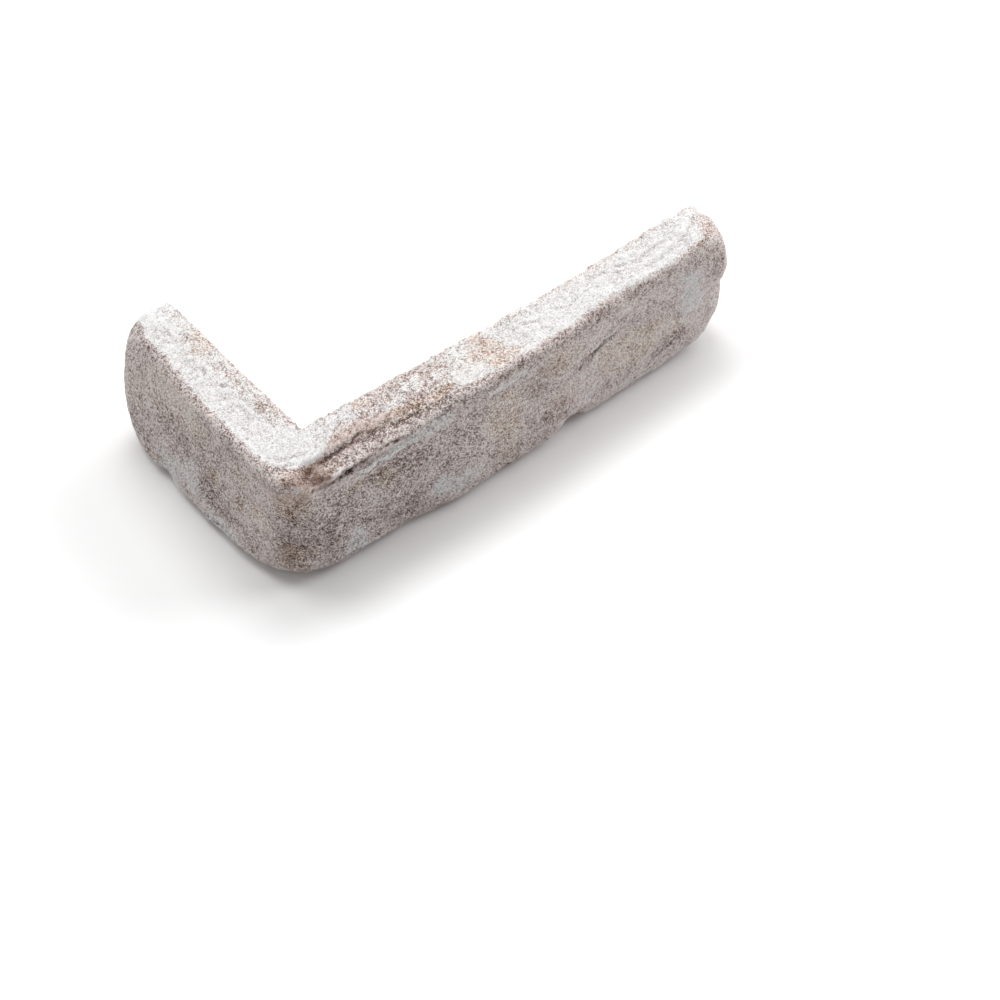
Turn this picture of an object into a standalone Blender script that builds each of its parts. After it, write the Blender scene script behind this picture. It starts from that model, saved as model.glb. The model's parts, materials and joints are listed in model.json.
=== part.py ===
# Corner brick slip: an L-shaped facing slip sawn from a hand-moulded, tumbled brick.
# It stands on its lower bed: the long stretcher leg runs along +X, the short header leg
# along +Y, and the two sawn backs meet in a square re-entrant corner.
import math
from collections import namedtuple

import bmesh
import bpy
from mathutils import Vector, noise

MM = 0.001

# Overall sizes, outside to outside
STRETCHER_LENGTH = 211.0 * MM
HEADER_LENGTH = 109.0 * MM
HEIGHT = 52.0 * MM

# Thickness from the sawn back to the outer face, at the lower bed and at the upper one
STRETCHER_THICKNESS_LOW = 23.2 * MM
STRETCHER_THICKNESS_TOP = 22.0 * MM
HEADER_THICKNESS_LOW = 26.8 * MM
HEADER_THICKNESS_TOP = 22.5 * MM

# Worn outer corner, in plan: tighter at the top bed than at the lower one
CORNER_RADIUS_TOP = 8.7 * MM
CORNER_RADIUS_LOW = 22.8 * MM

# Worn arrises along the outer face
ARRIS_RADIUS_TOP = 3.0 * MM
ARRIS_RADIUS_LOW = 5.4 * MM

# A stretch where the upper arris is worn to a larger radius
Wear = namedtuple("Wear", "along reach extra")

STRETCHER_WEAR = (
    Wear(118 * MM, 34 * MM, 2.2 * MM),
    Wear(160 * MM, 24 * MM, 1.0 * MM),
)
HEADER_WEAR = (
    Wear(62 * MM, 26 * MM, 1.6 * MM),
)

# Worn ends: the radius of the end's outline at the lower and the upper bed, the rounding between
# end and outer face along the leg and across it, and how far the upper bed lifts towards the end
End = namedtuple("End", "low top edge_along edge_across bed_lift")

STRETCHER_END = End(21.5 * MM, 7.5 * MM, 9.0 * MM, 12.0 * MM, 0.3 * MM)
HEADER_END = End(24.5 * MM, 8.0 * MM, 9.5 * MM, 15.0 * MM, 0.2 * MM)
END_TAPER_REACH = 55.0 * MM

# A swell stands proud of an outer face, or is hollow where proud is negative.
# along is measured along the leg from the sawn re-entrant corner, up from the lower bed.
Swell = namedtuple("Swell", "along up reach_along reach_up proud")

STRETCHER_SWELLS = (
    Swell(36 * MM, 40 * MM, 46 * MM, 40 * MM, 1.5 * MM),
    Swell(52 * MM, 4 * MM, 34 * MM, 36 * MM, 3.1 * MM),
    Swell(88 * MM, 4 * MM, 36 * MM, 34 * MM, 2.0 * MM),
    Swell(141 * MM, 46 * MM, 46 * MM, 38 * MM, -2.6 * MM),
    Swell(180 * MM, 0 * MM, 62 * MM, 50 * MM, -2.0 * MM),
    Swell(64 * MM, 24 * MM, 30 * MM, 22 * MM, 0.6 * MM),
    Swell(121 * MM, 26 * MM, 22 * MM, 20 * MM, -0.8 * MM),
    Swell(8 * MM, 4 * MM, 30 * MM, 30 * MM, 0.8 * MM),
    Swell(178 * MM, 52 * MM, 18 * MM, 12 * MM, -3.4 * MM),
    Swell(180 * MM, 37 * MM, 16 * MM, 11 * MM, 1.4 * MM),
    Swell(176 * MM, 25 * MM, 14 * MM, 11 * MM, -1.3 * MM),
)
HEADER_SWELLS = (
    Swell(20 * MM, 4 * MM, 30 * MM, 34 * MM, 2.1 * MM),
    Swell(45 * MM, 4 * MM, 30 * MM, 34 * MM, 1.3 * MM),
    Swell(70 * MM, 4 * MM, 30 * MM, 34 * MM, 0.6 * MM),
    Swell(62 * MM, 52 * MM, 34 * MM, 30 * MM, -2.2 * MM),
    Swell(80 * MM, 51 * MM, 16 * MM, 15 * MM, -2.4 * MM),
    Swell(51 * MM, 2 * MM, 7 * MM, 14 * MM, -1.5 * MM),
)

# Hollows of the upper bed: where they lie in plan, how far they reach and how deep they are.
# The bed stands up where depth is negative.
Hollow = namedtuple("Hollow", "x y reach depth")

BED_HOLLOWS = (
    Hollow(105 * MM, -4 * MM, 50 * MM, 2.6 * MM),
    Hollow(58 * MM, -6 * MM, 44 * MM, 1.5 * MM),
    Hollow(150 * MM, -10 * MM, 26 * MM, 1.0 * MM),
    Hollow(170 * MM, -6 * MM, 30 * MM, -0.5 * MM),
    Hollow(-8 * MM, 46 * MM, 40 * MM, 1.1 * MM),
    Hollow(-8 * MM, 16 * MM, 26 * MM, 1.0 * MM),
    Hollow(0 * MM, 84 * MM, 14 * MM, 0.6 * MM),
)

# Lumps of the hand-moulded skin: how far apart they are and how high
Lumps = namedtuple("Lumps", "spacing height")

SKIN_LUMPS = (
    Lumps(19 * MM, 0.55 * MM),
    Lumps(9 * MM, 0.45 * MM),
)

# Spall broken off the stretcher's upper arris, from the outer corner along the face
SPALL_START = -19.0 * MM
SPALL_END = 62.0 * MM
SPALL_FADE_IN = 9.0 * MM
SPALL_FADE_OUT = 40.0 * MM

# Its section where it is fullest, from the face up to the bed. inset is from the face, drop from the bed.
Facet = namedtuple("Facet", "inset drop")

# A second lip on the face, with the start of the undercut over it
SPALL_LIP = (
    Facet(0.0 * MM, 12.4 * MM),
    Facet(-0.5 * MM, 10.8 * MM),
    Facet(1.1 * MM, 8.6 * MM),
)
# The ridge that stands over the undercut, a sloping shelf and a steep crease up to the bed
SPALL_BREAK = (
    Facet(1.7 * MM, 6.9 * MM),
    Facet(0.4 * MM, 5.3 * MM),
    Facet(1.9 * MM, 4.3 * MM),
    Facet(5.0 * MM, 3.0 * MM),
    Facet(7.4 * MM, 2.2 * MM),
    Facet(8.8 * MM, 0.0 * MM),
)

# The lip opens out from this share of its section to all of it
LIP_SHARE = 0.25
LIP_START = -11.0 * MM
LIP_FULL = 3.0 * MM

# Bite out of the stretcher's lower arris
BITE_START = 96.0 * MM
BITE_END = 111.0 * MM
BITE_FLANK = 4.5 * MM
BITE_UP_FACE = 7.0 * MM
BITE_DEPTH = 7.0 * MM

# Mesh fineness
LEG_STEP = 3.4 * MM
CORNER_STEPS = 10
LEAD_STEPS = 4
LOW_ARRIS_STEPS = 4
FACE_STEPS = 10
ACROSS_STEPS = 5
END_STEPS = 4
MERGE_DISTANCE = 0.01 * MM
FLAT_ANGLE = math.radians(0.05)
SHARP_ANGLE = math.radians(40.0)

# Fired clay under a lime wash
BRICK_COLOUR = (0.47, 0.42, 0.39, 1.0)
BRICK_ROUGHNESS = 0.95
BRICK_METALLIC = 0.0

# Length of each sawn back, from the re-entrant corner to the leg's end
STRETCHER_REACH = STRETCHER_LENGTH - HEADER_THICKNESS_LOW
HEADER_REACH = HEADER_LENGTH - STRETCHER_THICKNESS_LOW

# A section of the slip: its leg, its place along it, the share of the way from the corner's curve
# to the leg's start, its turn round the outer corner and its turn into the leg's rounded end
Station = namedtuple("Station", "leg along lead turn end_turn")


def hump(distance, reach):
    """A raised cosine: 1 at distance 0, and 0 from reach on."""
    if abs(distance) >= reach:
        return 0.0
    return 0.5 + 0.5 * math.cos(math.pi * distance / reach)


def smooth_rise(value, start, end):
    """0 before start, 1 after end, and smooth between them."""
    share = min(max((value - start) / (end - start), 0.0), 1.0)
    return share * share * (3.0 - 2.0 * share)


def blend(low, high, share):
    return low + (high - low) * share


def swell_height(swells, along, up):
    return sum(s.proud * hump(along - s.along, s.reach_along) * hump(up - s.up, s.reach_up) for s in swells)


def lump_height(x, y, up):
    """Uneven height of the moulded skin at a place on it."""
    return sum(lumps.height * noise.noise(Vector((x, y, up)) / lumps.spacing) for lumps in SKIN_LUMPS)


def worn_radius(station):
    """Radius of the upper arris at this section."""
    wear = HEADER_WEAR if station.leg == "header" else STRETCHER_WEAR
    return ARRIS_RADIUS_TOP + sum(w.extra * hump(station.along - w.along, w.reach) for w in wear)


def spall_share(along):
    """How much of the spall's full section is broken away at this place on the stretcher."""
    rise = smooth_rise(along, SPALL_START, SPALL_START + SPALL_FADE_IN)
    fall = smooth_rise(along, SPALL_END - SPALL_FADE_OUT, SPALL_END)
    return rise * (1.0 - fall)


def spall_facets(along):
    """The spall's section at this place: its lower lip opens out after the ridge has started."""
    foot = SPALL_BREAK[0]
    opened = blend(LIP_SHARE, 1.0, smooth_rise(along, LIP_START, LIP_FULL))
    facets = []
    for facet in SPALL_LIP:
        facets.append(Facet(facet.inset * opened, blend(foot.drop, facet.drop, opened)))
    return facets + list(SPALL_BREAK)


def arris_section(station):
    """The outer profile as (inset from the face, height) pairs, from the lower bed to the upper one."""
    along = along_stretcher(station)
    broken = spall_share(along)
    facets = spall_facets(along)
    radius = worn_radius(station)
    section = []
    for step in range(LOW_ARRIS_STEPS):
        angle = 0.5 * math.pi * step / LOW_ARRIS_STEPS
        inset = ARRIS_RADIUS_LOW * (1.0 - math.sin(angle))
        up = ARRIS_RADIUS_LOW * (1.0 - math.cos(angle))
        section.append((inset, up))
    top_start = HEIGHT - blend(radius, facets[0].drop, broken)
    for step in range(FACE_STEPS):
        section.append((0.0, blend(ARRIS_RADIUS_LOW, top_start, step / FACE_STEPS)))
    for step, facet in enumerate(facets):
        angle = 0.5 * math.pi * step / (len(facets) - 1)
        inset = blend(radius * (1.0 - math.cos(angle)), facet.inset, broken)
        drop = blend(radius * (1.0 - math.sin(angle)), facet.drop, broken)
        section.append((inset, HEIGHT - drop))
    return section


def bite_depth(along, up):
    """How deep the bite is at this height of the stretcher's face."""
    if up >= BITE_UP_FACE:
        return 0.0
    start = smooth_rise(along, BITE_START, BITE_START + BITE_FLANK)
    end = smooth_rise(along, BITE_END - BITE_FLANK, BITE_END)
    return BITE_DEPTH * start * (1.0 - end) * (1.0 - (up / BITE_UP_FACE) ** 2)


def end_inset(up, low_radius, top_radius):
    """How far a worn leg end draws back at this height."""
    if up < low_radius:
        return low_radius - math.sqrt(low_radius ** 2 - (low_radius - up) ** 2)
    above = up - (HEIGHT - top_radius)
    if above > 0.0:
        return top_radius - math.sqrt(max(top_radius ** 2 - above ** 2, 0.0))
    return 0.0


def leg_stations(leg, reach, end):
    """Sections of a leg, from the outer corner's curve to the last one of its rounded end."""
    sections = [Station(leg, 0.0, step / LEAD_STEPS, 0.0, 0.0) for step in range(1, LEAD_STEPS + 1)]
    straight = reach - end.edge_along
    steps = max(1, round(straight / LEG_STEP))
    for step in range(1, steps + 1):
        sections.append(Station(leg, straight * step / steps, 1.0, 0.0, 0.0))
    for step in range(1, END_STEPS + 1):
        turn = 0.5 * math.pi * step / END_STEPS
        sections.append(Station(leg, straight + end.edge_along * math.sin(turn), 1.0, 0.0, turn))
    return sections


def stations():
    """Sections along the slip, from the header's end round the corner to the stretcher's end."""
    header = leg_stations("header", HEADER_REACH, HEADER_END)
    stretcher = leg_stations("stretcher", STRETCHER_REACH, STRETCHER_END)
    turns = [0.5 * math.pi * step / CORNER_STEPS for step in range(CORNER_STEPS + 1)]
    corner = [Station("corner", 0.0, 0.0, turn, 0.0) for turn in turns]
    return header[::-1] + corner + stretcher


def worn_along(station, up, reach, end):
    """Place along a leg at this height, drawn back where the worn end rounds off."""
    taper = smooth_rise(station.along, reach - END_TAPER_REACH, reach)
    return station.along - end_inset(up, end.low, end.top) * taper


def section_frame(station, up, inset):
    """Inner anchor and outer point of a section at one height, in plan."""
    stretcher_thickness = blend(STRETCHER_THICKNESS_LOW, STRETCHER_THICKNESS_TOP, up / HEIGHT)
    header_thickness = blend(HEADER_THICKNESS_LOW, HEADER_THICKNESS_TOP, up / HEIGHT)
    radius = blend(CORNER_RADIUS_LOW, CORNER_RADIUS_TOP, up / HEIGHT)
    centre_x = radius - header_thickness
    centre_y = radius - stretcher_thickness
    if station.leg == "stretcher":
        inner = worn_along(station, up, STRETCHER_REACH, STRETCHER_END)
        along = inner + centre_x * (1.0 - station.lead)
        proud = swell_height(STRETCHER_SWELLS, along, up) - bite_depth(along, up)
        rounded = inset + STRETCHER_END.edge_across * (1.0 - math.cos(station.end_turn))
        return (inner, 0.0), (along, rounded - stretcher_thickness - proud)
    if station.leg == "header":
        inner = worn_along(station, up, HEADER_REACH, HEADER_END)
        along = inner + centre_y * (1.0 - station.lead)
        proud = swell_height(HEADER_SWELLS, along, up)
        rounded = inset + HEADER_END.edge_across * (1.0 - math.cos(station.end_turn))
        return (0.0, inner), (rounded - header_thickness - proud, along)
    across = math.cos(station.turn)
    down = math.sin(station.turn)
    header_proud = swell_height(HEADER_SWELLS, centre_y - radius * down, up)
    stretcher_proud = swell_height(STRETCHER_SWELLS, centre_x - radius * across, up)
    reach = radius + header_proud * across ** 2 + stretcher_proud * down ** 2 - inset
    return (0.0, 0.0), (centre_x - reach * across, centre_y - reach * down)


def bed_drop(x, y, station):
    """How far the upper bed lies below its full height."""
    drop = sum(h.depth * hump(math.hypot(x - h.x, y - h.y), h.reach) for h in BED_HOLLOWS)
    end = HEADER_END if station.leg == "header" else STRETCHER_END
    return drop - end.bed_lift * (1.0 - math.cos(station.end_turn)) - lump_height(x, y, HEIGHT)


def along_stretcher(station):
    """Place along the stretcher's upper arris; the header's sections count as the outer corner."""
    if station.leg == "stretcher":
        return station.along + (CORNER_RADIUS_TOP - HEADER_THICKNESS_TOP) * (1.0 - station.lead)
    turned = 1.0 - math.cos(station.turn)
    return CORNER_RADIUS_TOP * turned - HEADER_THICKNESS_TOP


def slip_point(station, row, across):
    """A point of the slip: row counts up the outer profile, across runs from the sawn back outwards."""
    section = arris_section(station)
    inset, outer_up = section[row]
    inner_up = HEIGHT * row / (len(section) - 1)
    inner = section_frame(station, inner_up, 0.0)[0]
    outer = section_frame(station, outer_up, inset)[1]
    lump = lump_height(outer[0], outer[1], outer_up) * across * smooth_rise(outer_up, 0.0, ARRIS_RADIUS_LOW)
    stretch = 1.0 + lump / math.hypot(outer[0] - inner[0], outer[1] - inner[1])
    x = blend(inner[0], outer[0], across * stretch)
    y = blend(inner[1], outer[1], across * stretch)
    up = blend(inner_up, outer_up, across)
    end_lump = lump_height(x, y, up) * math.sin(station.end_turn) * smooth_rise(up, 0.0, ARRIS_RADIUS_LOW)
    if station.leg == "stretcher":
        x += end_lump
    if station.leg == "header":
        y += end_lump
    return (x, y, up - bed_drop(x, y, station) * (up / HEIGHT) ** 2)


def slip_mesh(name):
    """The slip as the skin of a block of points: sections, rows up the face, columns across the bed."""
    line = stations()
    last_row = len(arris_section(line[0])) - 1
    points = []
    index = {}

    def point(i, j, k):
        key = (i, j, k)
        if key not in index:
            index[key] = len(points)
            points.append(slip_point(line[i], j, k / ACROSS_STEPS))
        return index[key]

    faces = []
    last = len(line) - 1
    for i in range(last):
        for j in range(last_row):
            faces.append((point(i, j, ACROSS_STEPS), point(i + 1, j, ACROSS_STEPS),
                          point(i + 1, j + 1, ACROSS_STEPS), point(i, j + 1, ACROSS_STEPS)))
            faces.append((point(i, j + 1, 0), point(i + 1, j + 1, 0), point(i + 1, j, 0), point(i, j, 0)))
        for k in range(ACROSS_STEPS):
            faces.append((point(i, 0, k), point(i + 1, 0, k), point(i + 1, 0, k + 1), point(i, 0, k + 1)))
            faces.append((point(i, last_row, k + 1), point(i + 1, last_row, k + 1),
                          point(i + 1, last_row, k), point(i, last_row, k)))
    for j in range(last_row):
        for k in range(ACROSS_STEPS):
            faces.append((point(0, j, k), point(0, j, k + 1), point(0, j + 1, k + 1), point(0, j + 1, k)))
            faces.append((point(last, j + 1, k), point(last, j + 1, k + 1),
                          point(last, j, k + 1), point(last, j, k)))
    mesh = bpy.data.meshes.new(name)
    mesh.from_pydata(points, [], faces)
    return mesh


def merge_flat_faces(bm):
    """Leaves the sawn backs and the lower bed with only the points of their outlines."""
    bmesh.ops.dissolve_limit(bm, angle_limit=FLAT_ANGLE, verts=bm.verts, edges=bm.edges)
    bmesh.ops.triangulate(bm, faces=[face for face in bm.faces if len(face.verts) > 4])


def centre_on_base(bm):
    """Moves the slip so that the middle of its box's base is the origin."""
    low = [min(v.co[axis] for v in bm.verts) for axis in range(3)]
    high = [max(v.co[axis] for v in bm.verts) for axis in range(3)]
    shift = (-(low[0] + high[0]) / 2.0, -(low[1] + high[1]) / 2.0, -low[2])
    bmesh.ops.translate(bm, vec=shift, verts=bm.verts)


def brick_material():
    material = bpy.data.materials.new("limewashed_brick")
    material.use_nodes = True
    shader = material.node_tree.nodes["Principled BSDF"]
    shader.inputs["Base Color"].default_value = BRICK_COLOUR
    shader.inputs["Roughness"].default_value = BRICK_ROUGHNESS
    shader.inputs["Metallic"].default_value = BRICK_METALLIC
    return material


def add_slip():
    mesh = slip_mesh("corner_slip")
    bm = bmesh.new()
    bm.from_mesh(mesh)
    bmesh.ops.remove_doubles(bm, verts=bm.verts, dist=MERGE_DISTANCE)
    bmesh.ops.recalc_face_normals(bm, faces=bm.faces)
    merge_flat_faces(bm)
    centre_on_base(bm)
    bm.to_mesh(mesh)
    bm.free()
    mesh.materials.append(brick_material())
    mesh.shade_smooth()
    mesh.set_sharp_from_angle(angle=SHARP_ANGLE)
    slip = bpy.data.objects.new("corner_slip", mesh)
    bpy.context.scene.collection.objects.link(slip)
    return slip


def main():
    for obj in list(bpy.data.objects):
        bpy.data.objects.remove(obj, do_unlink=True)
    add_slip()


main()
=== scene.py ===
import json
import math
from collections import namedtuple

import bmesh
import bpy
import numpy as np
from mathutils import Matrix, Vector


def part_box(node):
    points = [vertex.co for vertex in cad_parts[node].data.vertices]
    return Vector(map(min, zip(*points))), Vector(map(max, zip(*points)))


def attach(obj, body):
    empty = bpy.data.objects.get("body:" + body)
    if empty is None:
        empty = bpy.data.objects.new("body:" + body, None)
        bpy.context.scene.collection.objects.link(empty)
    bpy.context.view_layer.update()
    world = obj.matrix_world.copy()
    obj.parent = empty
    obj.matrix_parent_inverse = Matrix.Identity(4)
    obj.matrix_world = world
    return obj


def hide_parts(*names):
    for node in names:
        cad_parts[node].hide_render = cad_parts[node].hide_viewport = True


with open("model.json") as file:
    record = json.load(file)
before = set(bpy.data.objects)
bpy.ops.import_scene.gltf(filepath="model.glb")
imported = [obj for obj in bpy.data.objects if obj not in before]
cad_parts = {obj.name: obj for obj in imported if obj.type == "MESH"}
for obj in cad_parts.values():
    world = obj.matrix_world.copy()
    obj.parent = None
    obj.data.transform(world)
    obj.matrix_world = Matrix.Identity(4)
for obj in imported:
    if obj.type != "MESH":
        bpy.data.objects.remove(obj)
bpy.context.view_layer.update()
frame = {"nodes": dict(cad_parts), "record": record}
NODE = "corner_slip"
MM = 0.001


def mount_place(name):
    return next(m["pos_m"] for m in frame["record"]["mounts"] if m["name"] == name)


# The sawn corner in the row's frame, and the slip's box measured from it
ORIGIN = np.array((mount_place("header_back")[0], mount_place("stretcher_back")[1], 0.0)) / MM
BOX_LOW = np.array(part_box(NODE)[0]) / MM - ORIGIN
BOX_HIGH = np.array(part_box(NODE)[1]) / MM - ORIGIN
SLIP_HEIGHT = BOX_HIGH[2]

# Fineness of the skin
VOXEL = 0.56
WELD = 0.01
SMOOTH_ROUNDS = 9
SMOOTH_SHARE = 0.5

# How near a point is to a flat side before and after it is put in its plane, how near a face of
# that side is to it, and the angle up to which such faces are joined
FLAT_MARGIN = 0.4
IN_PLANE = 1e-6
FLAT_FACE_MARGIN = 0.001
FLAT_ANGLE = math.radians(0.2)

# The photograph's camera: where it aims, from which side and how far
AIM = (61.3, -33.8, 0.0)
CAMERA_TURN = math.radians(39.0)
CAMERA_TILT = math.radians(48.7)
CAMERA_DISTANCE = 1100.0
CAMERA_NEAR = 50.0
FOCAL_PIXELS = 3021.0
FRAME_PIXELS = 1000.0
SENSOR_MM = 36.0


# Noise

TABLE_SIZE = 256
NOISE_GAIN = 1.6
# Moves the noise's lattice, at whose points it is 0, off the sawn corner
LATTICE_SHIFT = 71.3

# One kind of noise: its strength, its longest wave in millimetres, its octaves, its seed and how
# strong each octave is beside the one before
Layer = namedtuple("Layer", "strength size octaves seed gain", defaults=(0.5,))


def hashed_gradients(seed):
    rng = np.random.default_rng(seed)
    gradients = rng.normal(size=(TABLE_SIZE, 3))
    gradients /= np.linalg.norm(gradients, axis=1)[:, None]
    return rng.permutation(TABLE_SIZE), gradients


def noise(points, wavelength, seed):
    """Gradient noise, about -1 to 1, on an N x 3 array of points."""
    order, gradients = hashed_gradients(seed)
    scaled = points / wavelength + LATTICE_SHIFT
    cell = np.floor(scaled).astype(np.int64)
    inside = scaled - cell
    ease = inside * inside * inside * (inside * (inside * 6.0 - 15.0) + 10.0)
    total = np.zeros(len(points))
    for dx in (0, 1):
        for dy in (0, 1):
            for dz in (0, 1):
                key = order[(cell[:, 0] + dx) % TABLE_SIZE]
                key = order[(key + cell[:, 1] + dy) % TABLE_SIZE]
                key = order[(key + cell[:, 2] + dz) % TABLE_SIZE]
                offset = inside - np.array((dx, dy, dz))
                value = np.einsum("ij,ij->i", gradients[key], offset)
                weight = (np.where(dx, ease[:, 0], 1.0 - ease[:, 0])
                          * np.where(dy, ease[:, 1], 1.0 - ease[:, 1])
                          * np.where(dz, ease[:, 2], 1.0 - ease[:, 2]))
                total += weight * value
    return total * NOISE_GAIN


def ripple(points, *layers):
    """The sum of these layers of noise; each octave has half the wavelength of the one before."""
    total = np.zeros(len(points))
    for layer in layers:
        octaves = np.zeros(len(points))
        share = 1.0
        whole = 0.0
        for octave in range(layer.octaves):
            octaves += share * noise(points, layer.size / 2 ** octave, layer.seed + octave)
            whole += share
            share *= layer.gain
        total += layer.strength * (octaves / whole)
    return total


def creases(points, layer, middle):
    """Sharp crests where the layer's noise passes 0; middle is the height at which they even out."""
    return layer.strength * middle - np.abs(ripple(points, layer))


def pushed(points, layer):
    """The points moved about by a layer of noise, so that what is drawn on them swirls."""
    return points + ripple(points, layer)[:, None]


def rise(value, start, end):
    """0 before start, 1 after end, smooth between them; end may lie below start."""
    share = np.clip((value - start) / (end - start), 0.0, 1.0)
    return share * share * (3.0 - 2.0 * share)


def blend(low, high, share):
    return low + (high - low) * share


# Reading and writing the skin's points

def read_points(mesh):
    """The mesh's points in millimetres from the sawn corner."""
    points = np.empty(len(mesh.vertices) * 3)
    mesh.vertices.foreach_get("co", points)
    return points.reshape(-1, 3) / MM - ORIGIN


def write_points(mesh, points):
    mesh.vertices.foreach_set("co", ((points + ORIGIN) * MM).ravel())
    mesh.update()


def read_normals(mesh):
    normals = np.empty(len(mesh.vertices) * 3)
    mesh.vertex_normals.foreach_get("vector", normals)
    return normals.reshape(-1, 3)


def read_edges(mesh):
    edges = np.empty(len(mesh.edges) * 2, np.int64)
    mesh.edges.foreach_get("vertices", edges)
    return edges.reshape(-1, 2)


def relax(points, edges, share, rounds):
    """Moves each point towards the middle of its neighbours; share is per point."""
    count = len(points)
    ends = np.concatenate((edges[:, 0], edges[:, 1]))
    others = np.concatenate((edges[:, 1], edges[:, 0]))
    degree = np.bincount(ends, minlength=count)
    for _ in range(rounds):
        sums = [np.bincount(ends, points[others, axis], count) for axis in range(3)]
        middle = np.stack(sums, axis=1) / degree[:, None]
        points = points + (middle - points) * share[:, None]
    return points


def stands_out(points, normals, edges, rounds):
    """How far each point stands out, in millimetres, from the skin relaxed by this many rounds."""
    relaxed = relax(points, edges, np.full(len(points), SMOOTH_SHARE), rounds)
    return ((points - relaxed) * normals).sum(axis=1)


# Where on the slip a point lies

STRETCHER, HEADER, BED = 0, 1, 2

# How far the skin has to turn towards a face to belong to it
FACE_TURN = (0.4, 0.7)
BED_TURN = (0.4, 0.8)

# The edge of the lime on the upper bed, from the header's end round the corner to the stretcher's end
BED_EDGE = ((-7, 88), (-14, 81), (-17, 70), (-17, 57), (-18, 50), (-19, 35), (-19.5, 20), (-20.2, 4),
            (-19.6, -6), (-17.5, -11), (-13.5, -13.6), (-8, -14.6), (-2, -14.4), (4, -14.2), (10, -13.6),
            (16, -13.8), (24, -15.2), (32, -16.3), (40, -17.6), (52, -19.2), (63, -19.5), (81, -20.0),
            (92, -19.0), (111, -18.6), (121, -17.4), (140, -18.1), (159, -17.9), (172, -17.0),
            (178, -11), (184, -2))
BED_WANDER = (Layer(0.9, 4.2, 1, 201), Layer(0.8, 1.6, 1, 202))
BED_HEIGHTS = (43.0, 47.0)
BED_RIM = 0.3

# Where the thick lime of the corner ends and the spalled, bare bed of the stretcher begins
LOBE_EDGE = ((-9, -16.5), (-6, -15.2), (-3.6, -13.9), (0, -12.7), (3.3, -11.1), (5.8, -8.9), (10.5, -6.7),
             (15.3, -4.4), (22, -1.0), (26, 1.0))
LOBE_WANDER = (Layer(1.0, 3.5, 1, 203), Layer(0.5, 1.5, 1, 204))
LOBE_SOFTNESS = (-0.4, 0.9)
LOBE_FADE = (66.0, 40.0)


def depth_behind_backs(points):
    """Distance into the brick from the nearer sawn back."""
    x, y = points[:, 0], points[:, 1]
    corner = np.hypot(np.minimum(x, 0.0), np.minimum(y, 0.0))
    return np.where(y > 0.0, -x, np.where(x > 0.0, -y, corner))


def on_backs(points, margin):
    """Which points lie within this margin of the header's back, and which of the stretcher's."""
    x, y = points[:, 0], points[:, 1]
    return (y > -FLAT_MARGIN) & (np.abs(x) < margin), (x > -FLAT_MARGIN) & (np.abs(y) < margin)


def face_weights(normals):
    """How much each point belongs to the stretcher's face, the header's face and the upper bed."""
    return (rise(-normals[:, 1], *FACE_TURN), rise(-normals[:, 0], *FACE_TURN),
            rise(normals[:, 2], *BED_TURN))


def face_places(points):
    """The points' places on each of those faces: along the leg and up, or as seen from above."""
    return points[:, (0, 2)], points[:, (1, 2)], points[:, (0, 1)]


def path_distance(places, path):
    """Distance to a polyline, positive on its left, and the share of the way along it."""
    path = np.array(path, float)
    best = np.full(len(places), np.inf)
    side = np.ones(len(places))
    share = np.zeros(len(places))
    steps = np.diff(path, axis=0)
    lengths = np.linalg.norm(steps, axis=1)
    reached = 0.0
    for start, step, length in zip(path[:-1], steps, lengths):
        offset = places - start
        t = np.clip(offset @ step / length ** 2, 0.0, 1.0)
        gap = offset - t[:, None] * step
        distance = np.hypot(gap[:, 0], gap[:, 1])
        nearer = distance < best
        best = np.where(nearer, distance, best)
        side = np.where(nearer, np.sign(step[0] * gap[:, 1] - step[1] * gap[:, 0]), side)
        share = np.where(nearer, (reached + t * length) / lengths.sum(), share)
        reached += length
    return best * side, share


def on_bed(points, softness):
    """1 on the upper bed, 0 off it, with a wandering edge of this softness in millimetres."""
    inside = path_distance(points[:, :2], BED_EDGE)[0] + ripple(points, *BED_WANDER)
    return (rise(inside, -softness, softness) * rise(points[:, 2], *BED_HEIGHTS)
            * rise(depth_behind_backs(points), 0.0, BED_RIM))


def beyond_lobe(points):
    """1 on the part of the bed that lost its thick lime, fading out along the stretcher."""
    outside = ripple(points, *LOBE_WANDER) - path_distance(points[:, :2], LOBE_EDGE)[0]
    return rise(outside, *LOBE_SOFTNESS) * rise(points[:, 0], *LOBE_FADE)


# Bins along the slip, for reading its bed and its foot: their width, what keeps the header's and
# the round corner's bins apart from the stretcher's, that corner's radius, and how wide the strip
# by the backs is in which the bed is read
BIN_WIDTH = 3.0
LEGS_APART = 1000.0
CORNER_APART = 100.0
CORNER_RADIUS = 22.0
INNER_STRIP = 3.0


def largest_along(leg, values, counted):
    """For each point, the largest of the counted values within its bin along the leg, or 0."""
    bins = np.round(leg / BIN_WIDTH).astype(int)
    bins -= bins.min()
    largest = np.zeros(bins.max() + 1)
    np.maximum.at(largest, bins[counted], values[counted])
    return largest[bins]


def bed_height(points):
    """Height of the upper bed near each point, read from the tallest points of its inner strip."""
    leg = np.where(points[:, 1] > 0.0, points[:, 1] + LEGS_APART, points[:, 0])
    tallest = largest_along(leg, points[:, 2], depth_behind_backs(points) < INNER_STRIP)
    return np.where(tallest > 0.0, tallest, SLIP_HEIGHT)


# Creases and lips that stand out on the faces, each placed where the worn brick has it: the face,
# the path on it, the height of the lip on the path's one side, the depth of the groove on its
# other side, and the width of each
Line = namedtuple("Line", "face path lip groove width")

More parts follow.
